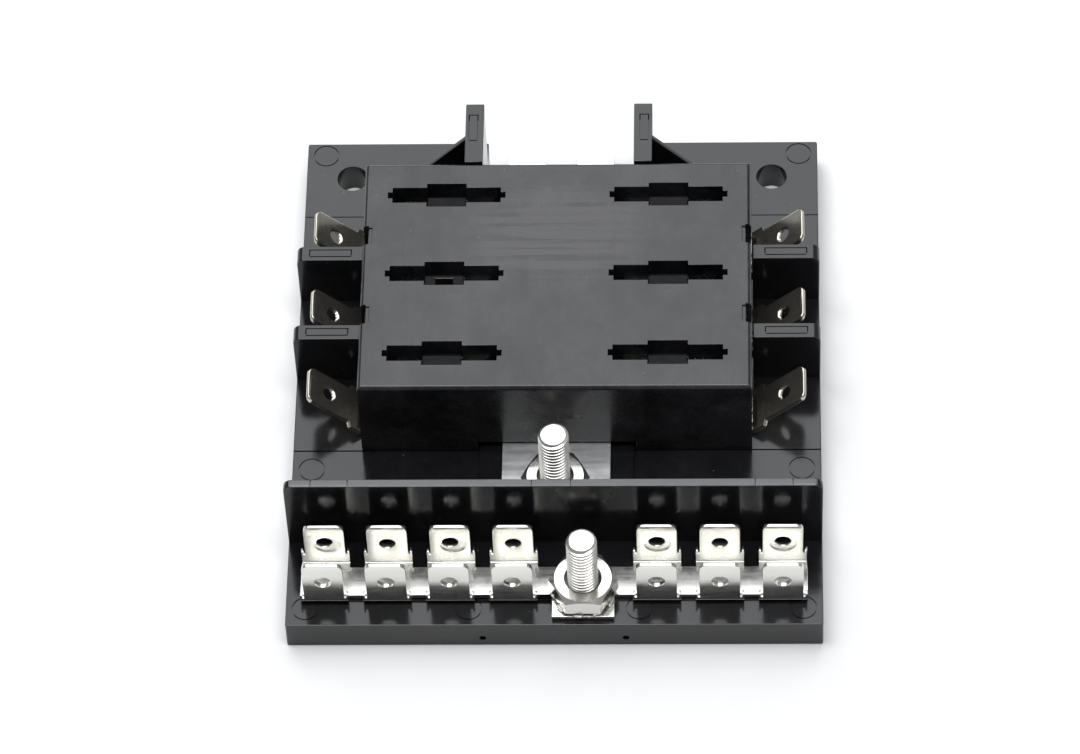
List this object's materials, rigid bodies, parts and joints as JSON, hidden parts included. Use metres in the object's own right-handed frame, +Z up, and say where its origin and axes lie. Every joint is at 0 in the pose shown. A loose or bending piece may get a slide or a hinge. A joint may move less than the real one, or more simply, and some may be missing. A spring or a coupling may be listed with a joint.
{
  "type": "fuse box panel",
  "caption": "Flat blade-fuse block: raised slotted housing, angled side blade terminals between partitions, a feed stud, and a walled-off ground bus with upright blades and its own stud.",
  "frame": {"origin": "centre of the panel's underside, midway between its edges", "axes": "+X to the right across the panel, +Y from the ground bus to the rear fins, +Z up out of the mounting surface"},
  "size_m": [0.0844, 0.0954, 0.0226],
  "materials": {
    "base_plastic": "black moulded thermoplastic, satin gloss",
    "housing_plastic": "black moulded thermoplastic, satin gloss, faint flow marks",
    "bus_plate": "tin-plated brass strip, semi-bright",
    "blade_plate": "tin-plated brass strip, semi-bright",
    "clip_plate": "tin-plated spring brass, dull",
    "stud_plate": "nickel-plated steel thread",
    "nut_plate": "nickel-plated steel, bright",
    "washer_plate": "plated spring steel",
    "screw_plate": "zinc-plated steel"
  },
  "bodies": {
    "panel": {"base_plate": "base_plastic", "fuse_housing": "housing_plastic", "positive_bus_bar": "bus_plate", "ground_bus_bar": "bus_plate", "power_stud": "stud_plate", "ground_stud": "stud_plate", "bus_clip_1": "clip_plate", "load_terminal_1": "blade_plate", "bus_clip_2": "clip_plate", "load_terminal_2": "blade_plate", "bus_clip_3": "clip_plate", "load_terminal_3": "blade_plate", "bus_clip_4": "clip_plate", "load_terminal_4": "blade_plate", "bus_clip_5": "clip_plate", "load_terminal_5": "blade_plate", "bus_clip_6": "clip_plate", "load_terminal_6": "blade_plate", "housing_screw_1": "screw_plate", "housing_screw_2": "screw_plate", "housing_screw_3": "screw_plate", "housing_screw_4": "screw_plate"},
    "power_washer": {"power_lock_washer": "washer_plate"},
    "power_nut": {"power_nut": "nut_plate"},
    "ground_washer": {"ground_lock_washer": "washer_plate"},
    "ground_nut": {"ground_nut": "nut_plate"}
  },
  "joints": [
    {"name": "power_nut_rise", "type": "slide", "parent": "panel", "child": "power_washer", "axis": [0, 0, 1], "range_m": [0, 0.0135]},
    {"name": "power_nut_turn", "type": "hinge", "parent": "power_washer", "child": "power_nut", "pos_m": [0, -0.0231, 0.0097], "axis": [0, 0, 1], "range_deg": [0, 6120]},
    {"name": "ground_nut_rise", "type": "slide", "parent": "panel", "child": "ground_washer", "axis": [0, 0, 1], "range_m": [0, 0.0127]},
    {"name": "ground_nut_turn", "type": "hinge", "parent": "ground_washer", "child": "ground_nut", "pos_m": [0.0046, -0.0421, 0.0091], "axis": [0, 0, 1], "range_deg": [0, 5760]}
  ],
  "couplings": [
    {"joint": "power_nut_turn", "follows": "power_nut_rise", "rad_per_m": 7913.3},
    {"joint": "ground_nut_turn", "follows": "ground_nut_rise", "rad_per_m": 7913.3}
  ]
}
